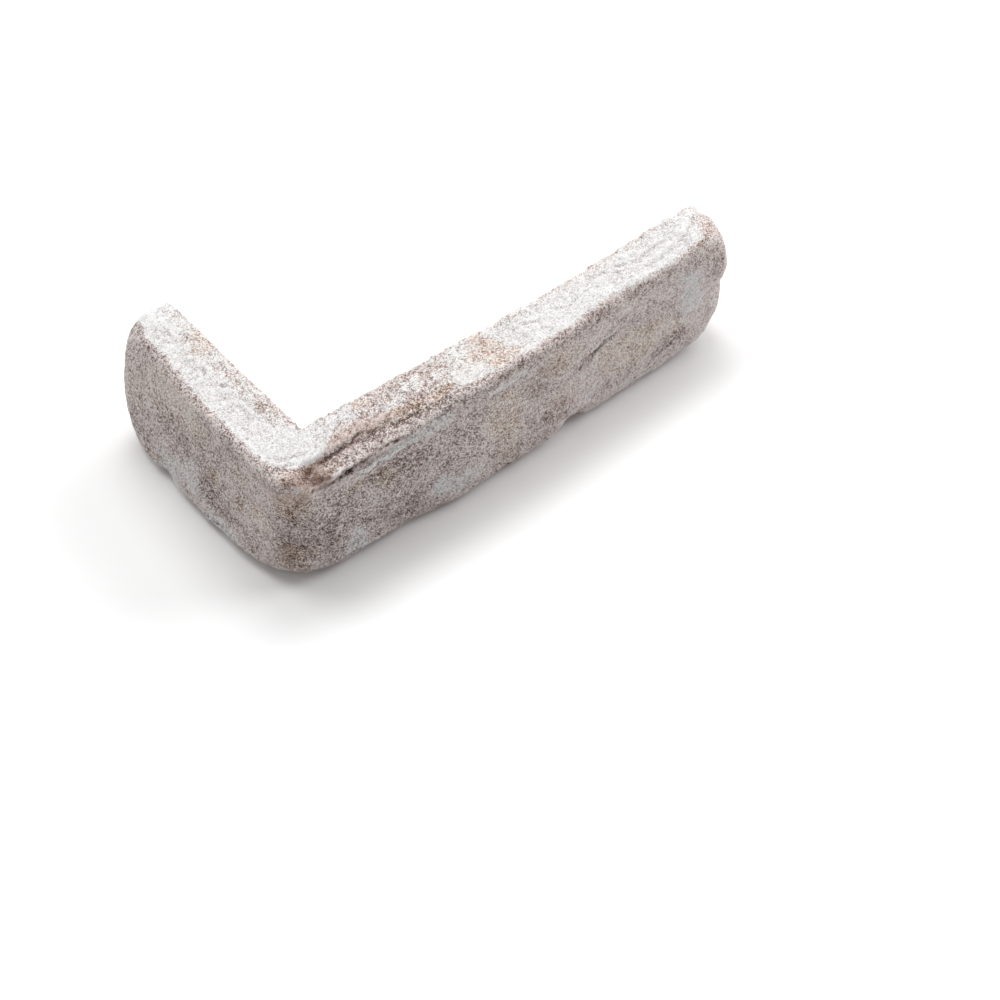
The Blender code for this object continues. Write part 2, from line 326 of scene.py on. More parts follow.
LINES = (
    # white ridge under the spall, over its dark undercut
    Line(STRETCHER, ((-9, 44.6), (-4, 45.2), (2, 46.8), (10, 47.6), (22, 48.2), (35, 48.9), (44, 49.8),
                     (52, 50.8)), 0.9, 0.6, 1.1),
    Line(STRETCHER, ((-3, 43.6), (3, 44.6), (9, 46.2), (13, 47.0)), 0.0, 1.2, 0.8),
    Line(STRETCHER, ((22, 46.6), (27, 46.9), (32, 46.8)), 0.0, 0.7, 0.8),
    Line(STRETCHER, ((38, 47.2), (43, 47.8), (48, 48.6)), 0.0, 0.8, 0.7),
    # crevice under the edge of the bed, between the lobe of lime and the spall
    Line(BED, ((-5, -15.2), (-2, -14.8), (3, -14.5), (8, -13.9), (14, -13.5), (19, -14.2)),
         0.1, 0.85, 0.8),
    # second lip, below the ridge
    Line(STRETCHER, ((-7, 43.6), (0, 42.6), (8, 42.0), (20, 42.4), (30, 43.4), (42, 45.4)),
         0.7, 0.35, 0.9),
    # folds of the moulding: down the middle of the face, by the arris and near the far foot
    Line(STRETCHER, ((106, 29.0), (110, 31.2), (117, 32.8), (123, 33.8), (130, 35.4), (138, 38.0)),
         0.5, 0.4, 1.6),
    Line(STRETCHER, ((61, 45.6), (66, 43.3), (72, 42.6), (79, 43.2), (85, 45.4)), 0.6, 0.15, 1.6),
    Line(STRETCHER, ((128, 6.4), (134, 8.4), (141, 7.2), (147, 8.6)), 0.4, 0.35, 1.0),
    # crusts along the foot
    Line(HEADER, ((62, 3.6), (52, 4.6), (44, 3.8), (34, 4.8), (27, 3.4)), 0.5, 0.7, 1.1),
    Line(HEADER, ((30, 7.8), (22, 6.6), (13, 7.4), (4, 5.6), (-4, 4.8)), 0.45, 0.5, 1.0),
    Line(STRETCHER, ((-8, 4.4), (2, 5.6), (11, 4.6), (20, 3.6)), 0.4, 0.5, 1.0),
    # fainter creases at the stretcher's far end and over the header's foot
    Line(STRETCHER, ((147, 12.4), (153, 13.6), (160, 15.0)), 0.2, 0.35, 1.2),
    Line(STRETCHER, ((154, 18.0), (157, 24.0), (157.5, 31.0)), 0.1, 0.4, 1.2),
    Line(HEADER, ((60, 13.0), (50, 10.5), (40, 8.0), (31, 9.5), (20, 8.5), (8, 5.0)), 0.2, 0.3, 1.4),
    Line(HEADER, ((34, 16.0), (28, 12.0), (22, 13.0)), 0.1, 0.2, 1.4),
    # swirls in the lime of the upper bed
    Line(BED, ((-19, -5.0), (-16.5, -10.0), (-11, -12.6), (-4, -11.5), (-1.5, -8.0), (-1.5, -5.0)),
         0.5, 0.25, 0.9),
    Line(BED, ((-17, -3.0), (-12, -8.0), (-6, -8.5)), 0.35, 0.3, 1.0),
    Line(BED, ((84, -8.0), (92, -6.0), (100, -9.0), (98, -14.0)), 0.35, 0.35, 1.1),
    Line(BED, ((104, -6.0), (112, -9.5), (122, -8.0), (130, -11.0)), 0.4, 0.35, 1.1),
    Line(BED, ((126, -4.0), (133, -6.0), (138, -10.0), (132, -13.0)), 0.35, 0.35, 0.9),
    Line(BED, ((136, -5.0), (146, -8.0), (158, -7.0), (168, -10.0)), 0.4, 0.3, 1.1),
    Line(BED, ((142, -12.0), (152, -13.0), (163, -12.0), (171, -8.0), (176, -4.0)), 0.5, 0.2, 1.6),
    Line(BED, ((-16, 58.0), (-10, 52.0), (-9, 44.0), (-14, 38.0)), 0.4, 0.15, 1.3),
    Line(BED, ((-12, 38.0), (-8, 35.0), (-7, 32.0)), 0.1, 0.6, 0.8),
    Line(BED, ((-16, 30.0), (-10, 24.0), (-9, 14.0)), 0.35, 0.15, 1.3),
    Line(BED, ((-14, 76.0), (-9, 70.0), (-10, 62.0)), 0.3, 0.15, 1.3),
    Line(BED, ((-7, 68.0), (-4, 62.0), (-6, 56.0)), 0.2, 0.2, 1.1),
)
LINE_WANDER = (
    (Layer(0.8, 5.0, 1, 301), Layer(0.4, 2.0, 1, 303)),
    (Layer(0.8, 5.0, 1, 302), Layer(0.4, 2.0, 1, 304)),
)
LINE_BREAKS = (Layer(0.9, 6.0, 1, 305), Layer(0.6, 2.4, 1, 306))
LINE_STRENGTH = 0.75
LINE_LIMIT = 1.6
TAPER_POWER = 0.6
# Where the lip and the groove lie beside the path, and how far they spread, in widths of the line
LIP_OFFSET = 0.6
GROOVE_OFFSET = -0.7
LINE_SPREAD = 0.75


def line_relief(points, weights):
    """How high the lips and how deep the grooves are at each point, in millimetres."""
    wander = np.stack([ripple(points, *layers) for layers in LINE_WANDER], axis=1)
    broken = np.clip(LINE_STRENGTH + ripple(points, *LINE_BREAKS), 0.0, LINE_LIMIT)
    places = face_places(points)
    lips = np.zeros(len(points))
    grooves = np.zeros(len(points))
    for line in LINES:
        signed, share = path_distance(places[line.face] + wander, line.path)
        if line.face == HEADER:
            signed = -signed
        across = signed / line.width
        taper = np.clip(np.sin(np.pi * share), 0.0, 1.0) ** TAPER_POWER * weights[line.face] * broken
        lips += line.lip * taper * np.exp(-((across - LIP_OFFSET) / LINE_SPREAD) ** 2)
        grooves += line.groove * taper * np.exp(-((across - GROOVE_OFFSET) / LINE_SPREAD) ** 2)
    return lips, grooves


# Relief of the sand and the lime

LUMPS = Layer(0.34, 12.0, 2, 11)
FOLDS = Layer(0.48, 6.5, 3, 21)
CRUMBS = Layer(0.17, 2.6, 1, 31)
GRAINS = Layer(0.13, 1.3, 1, 41)
PITS = (Layer(1.0, 2.3, 1, 51), Layer(0.4, 1.1, 1, 52))
PIT_RISE = (0.5, 0.95)
PIT_DEPTH = 0.45
SWIRLS = Layer(0.3, 7.5, 1, 62)
SWIRL_PUSH = Layer(2.5, 9.0, 1, 61)
WORMS = Layer(0.55, 2.9, 1, 64)
WORM_PUSH = Layer(0.8, 4.0, 1, 63)
CREASE_MIDDLE = 0.3
FOLD_MIDDLE = 0.32
# How much of the face's relief shows through the lime of the bed
LIMED_LUMPS = 0.9
LIMED_SAND = 0.8
LIMED_PITS = 0.5
# How much more crumbs and grains the bare part of the bed has
BARE_CRUMBS = 0.8
BARE_GRAINS = 0.5


def sand_relief(points, bed, bare):
    """Lumps, folds, crumbs, sand and pits, in millimetres; the bare part of the bed is the most broken."""
    lumps = ripple(points, LUMPS)
    folds = creases(points, FOLDS, FOLD_MIDDLE)
    crumbs = ripple(points, CRUMBS)
    grains = ripple(points, GRAINS)
    pits = PIT_DEPTH * rise(ripple(points, *PITS), *PIT_RISE)
    swirls = creases(pushed(points, SWIRL_PUSH), SWIRLS, CREASE_MIDDLE)
    worms = creases(pushed(points, WORM_PUSH), WORMS, CREASE_MIDDLE)
    face = lumps + folds + crumbs + grains - pits
    limed = LIMED_LUMPS * lumps + swirls + LIMED_SAND * (crumbs + grains) - LIMED_PITS * pits
    broken = worms + BARE_CRUMBS * crumbs + BARE_GRAINS * grains
    return blend(face, limed + broken * bare, bed)


# Ragged arrises, and the crusts and bites of the foot

RAGGED = (Layer(0.3, 5.5, 1, 71), Layer(0.3, 1.5, 1, 72))
BITES = (Layer(1.0, 6.1, 1, 73), Layer(0.6, 1.9, 1, 74))
BITE_RISE = (0.15, 0.9)
BITE_DEPTH = 0.7
CRUST = Layer(0.55, 9.0, 1, 75)
CRUST_STRETCH = (1.0, 1.0, 1.6)
CRUST_SUNK = 0.35
ARRIS_SUNK = 0.1
TOP_ARRIS = (3.0, 0.4)
FOOT_ARRIS = (2.4, 0.2)
FOOT_ARRIS_SHARE = 0.6
FOOT_HEIGHTS = (7.0, 1.0)
# Depth behind the sawn backs at which the foot of the outer faces begins
OUTER_DEPTHS = (8.0, 12.0)


def crumbled(points, below_bed):
    """How ragged the skin is, in millimetres: most along the arrises, with a bite here and there."""
    depth = depth_behind_backs(points)
    at_top = rise(np.maximum(depth, below_bed), *TOP_ARRIS)
    at_foot = rise(np.maximum(depth, points[:, 2]), *FOOT_ARRIS)
    outer_foot = rise(points[:, 2], *FOOT_HEIGHTS) * rise(depth, *OUTER_DEPTHS)
    ragged = ripple(points, *RAGGED)
    crust = ripple(points * CRUST_STRETCH, CRUST)
    bite = BITE_DEPTH * rise(ripple(points, *BITES), *BITE_RISE)
    arrises = (ragged - bite - ARRIS_SUNK) * np.maximum(at_top, FOOT_ARRIS_SHARE * at_foot)
    return arrises + (ragged + crust - CRUST_SUNK) * outer_foot


# The gap under the rim of the lower bed: its usual height, its limits, its unevenness along the
# foot, what the outer corner adds, and how wide the lifted rim is
GAP = 0.55
GAP_LIMITS = (0.1, 1.8)
GAP_UNEVEN = (Layer(0.8, 11.0, 1, 81), Layer(0.4, 4.0, 1, 82))
GAP_AT_CORNER = 0.5
OUTER_CORNER = (-14.0, -14.0)
CORNER_REACH = (24.0, 8.0)
RIM_WIDTH = 2.4
RIM_AT_CORNER = 0.8
RIM_EDGE = 0.3
ON_PLAN = (1.0, 1.0, 0.0)


def foot_lift(points):
    """How far the rim of the lower bed stands off the ground, so that the foot has a dark gap."""
    x, y = points[:, 0], points[:, 1]
    turn = np.arctan2(np.maximum(-y, 0.0), np.maximum(-x, 0.0))
    round_corner = -CORNER_APART - CORNER_RADIUS * turn
    leg = np.where(y > 0.0, LEGS_APART + y, np.where(x > 0.0, x, round_corner))
    depth = depth_behind_backs(points)
    inset = largest_along(leg, depth, points[:, 2] < FLAT_MARGIN) - depth
    at_corner = rise(np.hypot(x - OUTER_CORNER[0], y - OUTER_CORNER[1]), *CORNER_REACH)
    lift = np.clip(GAP + ripple(points * ON_PLAN, *GAP_UNEVEN) + GAP_AT_CORNER * at_corner, *GAP_LIMITS)
    width = RIM_WIDTH + RIM_AT_CORNER * at_corner
    return lift * rise(inset, width, RIM_EDGE) * rise(depth, *OUTER_DEPTHS)


# The skin

BED_SOFTNESS = 0.8
# Share of the relief that the rim of the lower bed has, within its plane
UNDER_SHARE = 0.5
# Distances below the bed within which the backs' rims follow the relief, and crumble
TOP_RIM = (4.0, 0.8)
INNER_TOP = (4.0, 1.0)
EATEN_SHARE = 0.8
# Height below which a point stands on the ground, and heights within which the foot is lifted
GROUNDED = 0.02
LIFTED_HEIGHTS = (7.0, 0.0)


def flatten(points):
    """Puts the points of the sawn backs and the lower bed exactly on their planes."""
    points = points.copy()
    on_header_back, on_stretcher_back = on_backs(points, FLAT_MARGIN)
    points[on_header_back, 0] = 0.0
    points[on_stretcher_back, 1] = 0.0
    points[points[:, 2] < FLAT_MARGIN, 2] = 0.0
    return points


def raised(points, normals, height):
    """The points moved by their relief; those of the backs and the lower bed keep to their planes."""
    on_header_back, on_stretcher_back = on_backs(points, IN_PLANE)
    on_back = on_header_back | on_stretcher_back
    under = points[:, 2] < IN_PLANE
    direction = normals.copy()
    direction[on_header_back, 0] = 0.0
    direction[on_stretcher_back, 1] = 0.0
    direction[under, 2] = 0.0
    moved = points + direction * (height * np.where(under, UNDER_SHARE, 1.0))[:, None]

    # the backs' upper rims follow the bed up and down, and crumble into the brick
    below_bed = bed_height(points) - points[:, 2]
    ragged = crumbled(points, below_bed)
    moved[:, 2] = np.where(on_back, points[:, 2] + height * rise(below_bed, *TOP_RIM), moved[:, 2])
    inner_top = rise(below_bed, *INNER_TOP)
    moved[:, 2] += ragged * inner_top
    eaten = EATEN_SHARE * np.minimum(ragged + ARRIS_SUNK, 0.0)
    moved[on_header_back, 0] += eaten[on_header_back]
    moved[on_stretcher_back, 1] += eaten[on_stretcher_back]
    outer = ragged * (1.0 - inner_top) * np.where(on_back, 0.0, 1.0)
    moved += direction * outer[:, None]

    moved[moved[:, 2] < GROUNDED, 2] = 0.0
    moved[:, 2] += foot_lift(points) * rise(points[:, 2], *LIFTED_HEIGHTS)
    return np.minimum(np.maximum(moved, BOX_LOW), BOX_HIGH)


def shape_skin(mesh):
    """Gives the skin its relief, and returns how high the lips and how deep the grooves are."""
    points = flatten(read_points(mesh))
    loose = (depth_behind_backs(points) > FLAT_MARGIN) & (points[:, 2] > FLAT_MARGIN)
    points = relax(points, read_edges(mesh), SMOOTH_SHARE * loose, SMOOTH_ROUNDS)
    write_points(mesh, points)
    normals = read_normals(mesh)
    lips, grooves = line_relief(points, face_weights(normals))
    height = sand_relief(points, on_bed(points, BED_SOFTNESS), beyond_lobe(points)) + lips - grooves
    write_points(mesh, raised(points, normals, height))
    return lips, grooves


def lighten_flats(mesh):
    """Leaves the flat sawn backs and the lower bed with few triangles."""
    planes = tuple(enumerate(ORIGIN * MM))
    margin = FLAT_FACE_MARGIN * MM
    bm = bmesh.new()
    bm.from_mesh(mesh)
    flat = set()
    for face in bm.faces:
        if any(all(abs(v.co[axis] - place) < margin for v in face.verts) for axis, place in planes):
            flat.add(face)
            face.smooth = False
    inner_verts = [v for v in bm.verts if all(f in flat for f in v.link_faces)]
    inner_edges = [e for e in bm.edges if all(f in flat for f in e.link_faces)]
    bmesh.ops.dissolve_limit(bm, angle_limit=FLAT_ANGLE, verts=inner_verts, edges=inner_edges)
    bmesh.ops.triangulate(bm, faces=[f for f in bm.faces if len(f.verts) > 4])
    bm.to_mesh(mesh)
    bm.free()


# Colour

# A soft-edged ellipse on one face: where, how far it reaches, its turn in degrees and its strength
Patch = namedtuple("Patch", "face at reach turn strength")

# Thin, bluish-white haze of lime on the faces
HAZE_PATCHES = (
    Patch(STRETCHER, (5, 10.5), (6, 8), 0, 0.34),
    Patch(STRETCHER, (13, 25), (9, 8), 0, 0.20),
    Patch(STRETCHER, (25, 20), (6, 5), 0, 0.10),
    Patch(STRETCHER, (41.5, 14), (4.5, 5), 0, 0.42),
    Patch(STRETCHER, (44, 12), (12, 7), 0, 0.22),
    Patch(STRETCHER, (11, 10), (14, 6), 0, 0.14),
    Patch(STRETCHER, (30, 44.5), (22, 2.4), 4, 0.22),
    Patch(STRETCHER, (56, 12), (11, 5), 0, 0.30),
    Patch(STRETCHER, (64, 22), (3, 3), 0, 0.22),
    Patch(STRETCHER, (33, 24), (7, 6), 0, 0.10),
    Patch(STRETCHER, (40, 45), (10, 4), 5, 0.26),
    Patch(STRETCHER, (18, 43.8), (20, 2.2), 4, 0.24),
    Patch(STRETCHER, (32, 49.5), (14, 1.6), 3, 0.12),
    Patch(STRETCHER, (74, 43.8), (13, 2.2), 0, 0.40),
    Patch(STRETCHER, (112, 17), (8, 12), 0, 0.22),
    Patch(STRETCHER, (121, 39), (15, 3), 20, 0.20),
    Patch(STRETCHER, (140, 43), (9, 5), 0, 0.14),
    Patch(STRETCHER, (136, 6), (13, 2.6), 5, 0.24),
    Patch(STRETCHER, (164, 30), (8, 14), 0, 0.40),
    Patch(STRETCHER, (160, 40), (7, 6), 0, 0.14),
    Patch(STRETCHER, (171, 8), (5, 4), 30, 0.34),
    Patch(STRETCHER, (180, 22), (6, 9), 0, 0.12),
    Patch(HEADER, (46, 10), (9, 7), 0, 0.86),
    Patch(HEADER, (40, 5), (16, 3), 0, 0.30),
    Patch(HEADER, (33.5, 18), (6, 9), 0, 0.36),
    Patch(HEADER, (15, 7), (12, 4), 0, 0.64),
    Patch(HEADER, (31, 10), (6, 5), 0, 0.22),
    Patch(HEADER, (14, 32), (9, 9), 0, 0.10),
    Patch(HEADER, (72, 38), (9, 10), 0, 0.14),
    Patch(HEADER, (58, 22), (8, 6), 0, 0.08),
    Patch(HEADER, (-8, 14), (7, 5), 0, 0.10),
)
# Where the sand is worn off and the clay is smooth
SMOOTH_PATCHES = (
    Patch(BED, (-12, -18.6), (14, 4.0), -6, 0.50),
    Patch(BED, (10, -14.0), (19, 3.8), 4, 0.50),
    Patch(STRETCHER, (12, 45.0), (28, 4.0), 3, 0.40),
    Patch(STRETCHER, (-10, 47.5), (12, 4.5), 0, 0.55),
    Patch(STRETCHER, (164, 30), (8, 13), 0, 0.25),
    Patch(HEADER, (-14, 46.5), (12, 4.0), 0, 0.40),
    Patch(HEADER, (-14, 20), (8, 14), 0, 0.15),
)
# Bare, darker clay, and painted shade in undercuts, a crease, a crevice, under a bevel and under the lobe of
# lime; a strength below 0 is paler clay
DARK_AND_SHADE_PATCHES = (
    Patch(STRETCHER, (6, 48.5), (14, 2.2), 3, 0.08),
    Patch(STRETCHER, (8, 22), (34, 30), 0, 0.05),
    Patch(STRETCHER, (-19, 26), (8, 30), 0, 0.05),
    # these three: painted shade in the undercuts under the white ridge
    Patch(STRETCHER, (9, 46.4), (7, 1.0), 8, 0.14),
    Patch(STRETCHER, (27, 47.0), (7, 1.0), 0, 0.14),
    Patch(STRETCHER, (43, 48.0), (6, 1.0), 8, 0.16),
    Patch(STRETCHER, (18, 38.0), (14, 2.6), 2, 0.15),
    Patch(STRETCHER, (18, 33.0), (3, 5), 0, 0.14),
    Patch(STRETCHER, (30, 34), (10, 5), 0, 0.09),
    Patch(STRETCHER, (26, 12), (6, 8), 0, 0.12),
    Patch(STRETCHER, (-9, 22), (6, 9), 0, 0.12),
    Patch(STRETCHER, (-18, 42), (6, 8), 0, 0.13),
    Patch(STRETCHER, (-18, 14), (6, 9), 0, 0.14),
    Patch(STRETCHER, (13, 17), (5, 4), 0, 0.08),
    Patch(STRETCHER, (70, 48), (11, 2.2), 0, 0.16),
    Patch(STRETCHER, (66, 14.5), (2, 3), 0, 0.14),
    Patch(STRETCHER, (73, 6), (6, 5), 0, 0.16),
    Patch(STRETCHER, (98, 16), (9, 6), 0, 0.15),
    Patch(STRETCHER, (96, 38), (10, 7), 0, 0.09),
    Patch(STRETCHER, (86, 33), (7, 8), 0, 0.05),
    # painted shade of the worn bevel under the top arris
    Patch(STRETCHER, (106, 48), (24, 2.8), -2, 0.16),
    Patch(STRETCHER, (54, 49.6), (10, 2.0), 4, 0.12),
    Patch(STRETCHER, (92, 14), (6, 8), 0, 0.06),
    Patch(STRETCHER, (148, 30), (10, 6), 0, 0.05),
    # these two: painted shade in the diagonal crease
    Patch(STRETCHER, (113, 31.5), (8, 3.6), 25, 0.24),
    Patch(STRETCHER, (127, 35.2), (11, 2.2), 18, 0.12),
    Patch(STRETCHER, (-6, 23), (9, 8), 0, 0.06),
    Patch(STRETCHER, (152, 14), (11, 4), 8, 0.22),
    Patch(STRETCHER, (157, 26), (2.6, 9), 0, 0.12),
    Patch(STRETCHER, (132, 14), (9, 4), 0, 0.06),
    Patch(STRETCHER, (165, 46), (5, 3), 0, 0.10),
    Patch(STRETCHER, (176, 42), (4, 8), 0, 0.15),
    Patch(HEADER, (14, 15), (9, 5), 0, 0.14),
    Patch(HEADER, (24, 19), (6, 5), 0, 0.14),
    Patch(HEADER, (20.7, 26.5), (2.5, 4), 0, 0.20),
    Patch(HEADER, (5, 25), (3.5, 3.5), 0, 0.20),
    Patch(HEADER, (9, 36.5), (3, 3), 0, 0.14),
    Patch(HEADER, (34, 29), (13, 7), 0, 0.09),
    Patch(HEADER, (53, 27), (8, 7), 0, 0.10),
    Patch(HEADER, (55, 9), (2.5, 3.5), 0, 0.16),
    Patch(HEADER, (61, 7), (2.5, 3), 0, 0.14),
    Patch(HEADER, (68, 16), (7, 6), 0, 0.06),
    Patch(HEADER, (-2, 12), (5, 5), 0, 0.07),
    Patch(HEADER, (-17, 38), (5, 10), 0, 0.14),
    Patch(HEADER, (-17, 18), (5, 9), 0, 0.12),
    # painted shade in the crevice under the edge of the bed
    Patch(BED, (8, -13.6), (15, 3.2), 4, 0.10),
    Patch(BED, (30, -16.0), (12, 2.6), -6, 0.10),
    Patch(BED, (44, -15.5), (12, 4.4), -8, 0.18),
    # these two: painted shade under the lobe of lime at the corner, over its olive-brown clay
    Patch(BED, (-10, -18.2), (16, 3.8), 0, 0.10),
    Patch(BED, (-13, -19.5), (11, 4.2), -12, 0.30),
    Patch(HEADER, (-14, 48.5), (8, 2.6), 0, 0.10),
    Patch(STRETCHER, (-9, 48.0), (11, 3.0), 0, 0.12),
    Patch(HEADER, (47, 43), (20, 7), 0, -0.09),
    Patch(HEADER, (0, 30), (14, 30), 0, -0.09),
    Patch(HEADER, (40, 9), (16, 8), 0, -0.07),
    Patch(HEADER, (12, 6), (14, 4), 0, -0.09),
    Patch(STRETCHER, (44, 13), (9, 6), 0, -0.06),
    Patch(HEADER, (22, 21), (14, 9), 0, 0.04),
    Patch(BED, (178, -12), (6, 7), 0, 0.08),
)
# Where the clay is ochre instead of mauve
OCHRE_PATCHES = (
    Patch(STRETCHER, (18, 34), (5, 6), 0, 1.2),
    Patch(STRETCHER, (6, 38), (6, 3), 0, 0.9),
    Patch(STRETCHER, (-18, 42), (8, 8), 0, 0.9),
    Patch(STRETCHER, (-19, 13), (8, 9), 0, 0.9),
    Patch(STRETCHER, (-8, 49), (9, 3), 0, 0.8),
    Patch(STRETCHER, (72, 29), (10, 14), 0, 0.9),
    Patch(STRETCHER, (71, 10), (7, 8), 0, 0.6),
    Patch(STRETCHER, (99, 38), (9, 8), 0, 0.9),
    Patch(STRETCHER, (99, 20), (10, 6), 0, 0.6),
    Patch(STRETCHER, (136, 23), (16, 9), 0, 1.2),
    Patch(STRETCHER, (122, 24), (6, 8), 0, 0.5),
    Patch(STRETCHER, (155, 20), (5, 5), 0, 0.9),
    Patch(HEADER, (47, 42), (20, 8), 0, 1.8),
    Patch(HEADER, (38, 40), (8, 6), 0, 0.6),
    Patch(HEADER, (60, 34), (11, 8), 0, 0.5),
    Patch(HEADER, (20.7, 26.5), (3.5, 4.5), 0, 1.6),
    Patch(HEADER, (5, 25), (3.5, 3.5), 0, 0.9),
    Patch(HEADER, (-6.5, 27), (6, 8), 0, 0.9),
    Patch(HEADER, (4, 38), (7, 6), 0, 0.5),
    Patch(HEADER, (-17, 40), (6, 8), 0, 0.8),
    Patch(HEADER, (57, 8), (5, 4), 0, 0.9),
    Patch(HEADER, (74, 28), (8, 14), 0, 0.4),
    Patch(BED, (75, -8), (8, 8), 0, 1.3),
    Patch(BED, (66, -10), (14, 9), 0, 0.7),
    Patch(BED, (79, -16), (10, 3), 3, 1.0),
    Patch(BED, (52, -15), (8, 3), 0, 0.9),
    Patch(BED, (22, -2.5), (5, 3), 0, 0.6),
    Patch(BED, (10, -11.5), (9, 4), 0, 0.35),
    Patch(BED, (28, -14.5), (12, 3), 0, 0.4),
    Patch(BED, (-11, -18.4), (15, 4.0), -6, 0.70),
    Patch(BED, (-4, 40), (4, 44), 0, 0.35),
    Patch(BED, (-5, 58), (5, 7), 0, 0.9),
    Patch(BED, (40, -16.5), (12, 2.5), -8, 0.7),
    Patch(BED, (120, -2.5), (34, 2.5), 0, 0.6),
    Patch(BED, (177, -14), (6, 6), 0, 0.4),
)
# Where the lime lies thin over the sandy clay of the upper bed; below 0, lumps of it are left
THIN_PATCHES = (
    Patch(BED, (36, -9), (40, 14), 0, 0.27),
    Patch(BED, (12, -12.6), (12, 3.6), 6, 0.85),
    Patch(BED, (26, -15.0), (14, 3.0), -4, 0.45),
    Patch(BED, (11, -10.0), (8, 2.4), 12, 0.20),
    Patch(BED, (24, -2.5), (7, 3.0), 0, 0.30),
    Patch(BED, (10, -2.0), (6, 2.5), 0, 0.25),
    Patch(BED, (55, -4), (14, 4.0), 0, 0.20),
    Patch(BED, (76, -9), (9, 10), 0, 0.50),
    Patch(BED, (79, -16), (10, 3.0), 3, 0.40),
    Patch(BED, (0, -15.5), (12, 2.4), 3, 0.50),
    Patch(BED, (-10, -18.0), (16, 3.4), 0, 0.75),
    Patch(BED, (-20, -12.0), (3.0, 9.0), 0, 0.40),
    Patch(BED, (46, -16.0), (10, 4.0), -6, 0.42),
    Patch(BED, (17, -3.0), (12, 2.6), 0, -0.16),
    Patch(BED, (17, -7.0), (5, 2.6), 0, -0.24),
    Patch(BED, (32, -10.5), (6, 3.0), 0, -0.20),
    Patch(BED, (42, -6.0), (6, 3.0), 0, -0.30),
    Patch(BED, (47, -14.0), (6, 2.0), 0, -0.30),
    Patch(BED, (62, -15.5), (7, 3), 0, -0.50),
    Patch(BED, (88, -10), (5, 7), 0, -0.25),
    Patch(BED, (-3.0, 45), (4.5, 44), 0, 0.24),
    Patch(BED, (-5, 58), (6, 8), 0, 0.22),
    Patch(BED, (-4.0, 12), (4.0, 10), 0, 0.26),
    Patch(BED, (-18, 72), (3.0, 14), 0, 0.30),
    Patch(BED, (-11, -6), (10, 9), 0, -0.30),
    Patch(BED, (-15, 20), (5, 34), 0, -0.16),
    Patch(BED, (-11, 70), (6, 14), 0, -0.14),
    Patch(BED, (112, -8), (22, 7), 0, -0.16),
    Patch(BED, (155, -8), (18, 6), 0, -0.10),
    Patch(BED, (-6, 30), (5, 22), 0, 0.12),
    Patch(BED, (97, -16.5), (12, 3.2), 0, 0.10),
    Patch(BED, (122, -17.0), (18, 2.6), 0, 0.06),
    Patch(BED, (130, -2.0), (60, 3.0), 0, 0.26),
    Patch(BED, (178, -12), (6, 8), 0, 0.55),
)
PATCH_RAGGED = Layer(0.36, 8.0, 3, 401)
PATCH_EDGE = (1.25, 0.45)


def patch_field(points, weights, patches):
    """The strengths of the patches at each point, summed; their edges are ragged."""
    places = face_places(points)
    ragged = ripple(points, PATCH_RAGGED)
    total = np.zeros(len(points))
    for patch in patches:
        turn = math.radians(patch.turn)
        offset = places[patch.face] - np.array(patch.at, float)
        along = offset[:, 0] * math.cos(turn) + offset[:, 1] * math.sin(turn)
        across = offset[:, 1] * math.cos(turn) - offset[:, 0] * math.sin(turn)
        radius = np.hypot(along / patch.reach[0], across / patch.reach[1]) + ragged
        total += patch.strength * rise(radius, *PATCH_EDGE) * weights[patch.face]
    return total


# How pale the clay of the faces, the bare bed and the sawn backs is, and the lime on each
FACE_TONE = 0.66
BARE_BED_TONE = 0.62
SAWN_TONE = 0.62
FACE_LIME_TONE = 0.83
LIME_TONE = 0.82
MOTTLE = Layer(1.4, 10.0, 4, 501, 0.6)
MOTTLE_CLAY = 0.07
MOTTLE_LIME = 0.06
MOTTLE_SAWN = 0.05
HAZE_PALE = 0.50
DARK_AND_SHADE_STRENGTH = 1.2
DARK_AND_SHADE_LIME = 0.5
# How much the faces pale along the stretcher and along the header
STRETCHER_PALE = (0.11, 40.0, 130.0)
HEADER_PALE = (0.06, 0.0, 40.0)
# Painted shade and light from the relief: hollows darken and high places pale, by relief found with few and
# with many rounds of smoothing
FINE_ROUNDS = 5
FINE_SHADE_AND_LIGHT = 0.9
FINE_SHADE_LIMITS = (-0.20, 0.10)
BROAD_ROUNDS = 40
BROAD_SHADE_AND_LIGHT = 0.35
BROAD_SHADE_LIMITS = (-0.16, 0.08)
LIME_RELIEF_LIGHT_LIMIT = 0.08
LIP_LIMIT = 0.6
# Painted light on the lips, which on the white ridge also stands for its lime
LIP_LIME_AND_LIGHT = 0.34
LIP_LIGHT_ON_LIME = 0.08
LIP_COVER = 1.7
# Painted shade in the grooves
GROOVE_SHADE = 0.38
GROOVE_SHADE_ON_LIME = 0.22
# Painted contact shade along the foot, over its darker clay: the clay darkens within a few millimetres of the
# ground
FOOT_SHADE_AND_CLAY = 0.16
FOOT_SHADE_HEIGHTS = (2.4, 0.5)
FOOT_SHADE_DEPTHS = (2.0, 5.0)

# The brown band of worn arris that edges the bed, darkened further by painted shade of its bevel
PAINT_SOFTNESS = 1.1
ARRIS_SOFTNESS = 4.0
ARRIS_PATCHY = Layer(1.1, 14.0, 1, 531)
ARRIS_STRENGTH = 0.9
ARRIS_LIMITS = (0.4, 1.5)
ARRIS_CLAY_AND_SHADE = 0.85
ARRIS_OCHRE = 0.5

